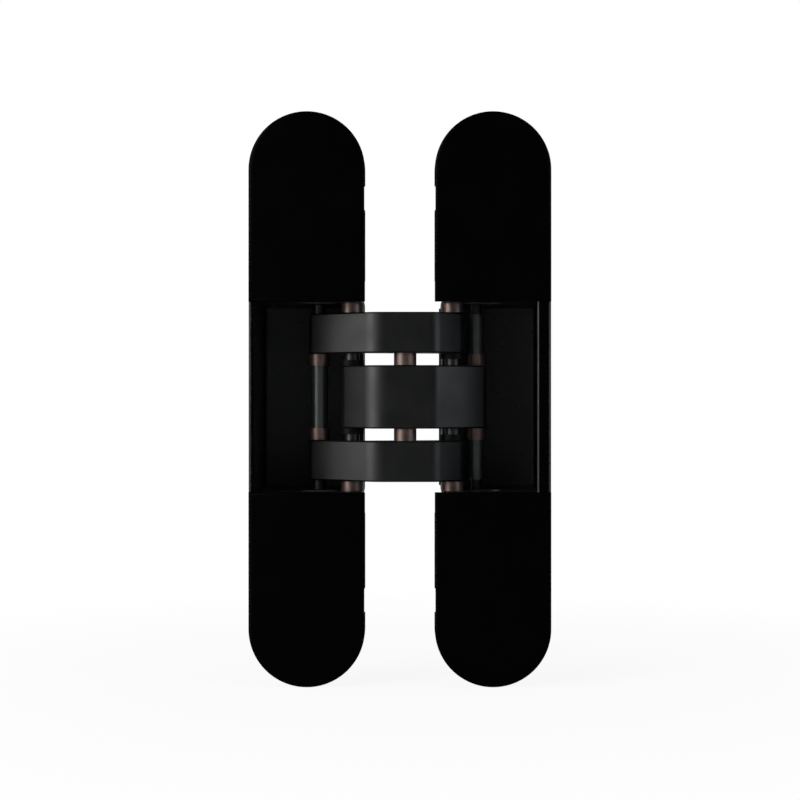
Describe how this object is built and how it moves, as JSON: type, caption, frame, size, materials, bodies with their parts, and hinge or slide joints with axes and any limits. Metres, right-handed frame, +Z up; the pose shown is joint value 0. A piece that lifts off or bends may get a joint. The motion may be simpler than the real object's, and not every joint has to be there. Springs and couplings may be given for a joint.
{
  "type": "concealed door hinge",
  "caption": "Concealed hinge lying open: two mortise housings with round-ended cover caps, joined by offset folding arms on pins with bronze bushes.",
  "frame": {"origin": "midway between the frame leaf's outer screw holes, on the bearing face of its fixing plates", "axes": "+X from the frame leaf to the door leaf, +Y into the leaves from their fronts, +Z up along the leaves"},
  "size_m": [0.0624, 0.0295, 0.1186],
  "materials": {
    "cap": "matte black, faintly grained moulded cover",
    "housing": "dark grey cast zinc, fine sandy texture",
    "plate": "black-coated steel plate, hidden under the cover",
    "screw": "black-coated steel socket screw",
    "arm": "satin mid-grey coated cast arm with flat facets",
    "washer": "black plastic spacer washer",
    "bush": "plain bronze bearing bush, rosy brown",
    "spacer": "turned steel sleeve",
    "pin": "ground steel pin"
  },
  "bodies": {
    "frame_leaf": {"frame_pivot_pin": "pin", "frame_spacer": "spacer", "frame_housing": "housing", "frame_upper_cap": "cap", "frame_upper_plate": "plate", "frame_lower_cap": "cap", "frame_lower_plate": "plate", "frame_clamp_screws": "screw"},
    "outer_arms": {"upper_arm": "arm", "lower_arm": "arm", "centre_pin": "pin", "upper_centre_bush": "bush", "lower_centre_bush": "bush", "frame_upper_pivot_bush": "bush", "frame_lower_pivot_bush": "bush", "outer_slide_pin": "pin", "outer_upper_guide_bush": "bush", "outer_lower_guide_bush": "bush", "outer_upper_washer": "washer", "outer_lower_washer": "washer"},
    "middle_arm_group": {"middle_arm": "arm", "door_upper_pivot_bush": "bush", "door_lower_pivot_bush": "bush", "middle_slide_pin": "pin", "middle_upper_guide_bush": "bush", "middle_lower_guide_bush": "bush", "middle_upper_washer": "washer", "middle_lower_washer": "washer"},
    "door_leaf": {"door_pivot_pin": "pin", "door_upper_spacer": "spacer", "door_lower_spacer": "spacer", "door_housing": "housing", "door_upper_cap": "cap", "door_upper_plate": "plate", "door_lower_cap": "cap", "door_lower_plate": "plate", "door_clamp_screws": "screw"}
  },
  "joints": [
    {"name": "frame_pivot", "type": "hinge", "parent": "frame_leaf", "child": "outer_arms", "pos_m": [0.0019, 0.01055, 0], "axis": [0, 0, -1], "range_deg": [0, 81.61]},
    {"name": "centre_pivot", "type": "hinge", "parent": "outer_arms", "child": "middle_arm_group", "pos_m": [0.0203, 0.00155, 0], "axis": [0, 0, -1], "range_deg": [0, 14.6]},
    {"name": "door_pivot", "type": "hinge", "parent": "middle_arm_group", "child": "door_leaf", "pos_m": [0.0354, 0.01055, 0], "axis": [0, 0, -1], "range_deg": [0, 83.81]}
  ],
  "couplings": [
    {"joint": "centre_pivot", "follows": "frame_pivot", "ratio": 0.1788},
    {"joint": "door_pivot", "follows": "frame_pivot", "ratio": 1.0269}
  ]
}
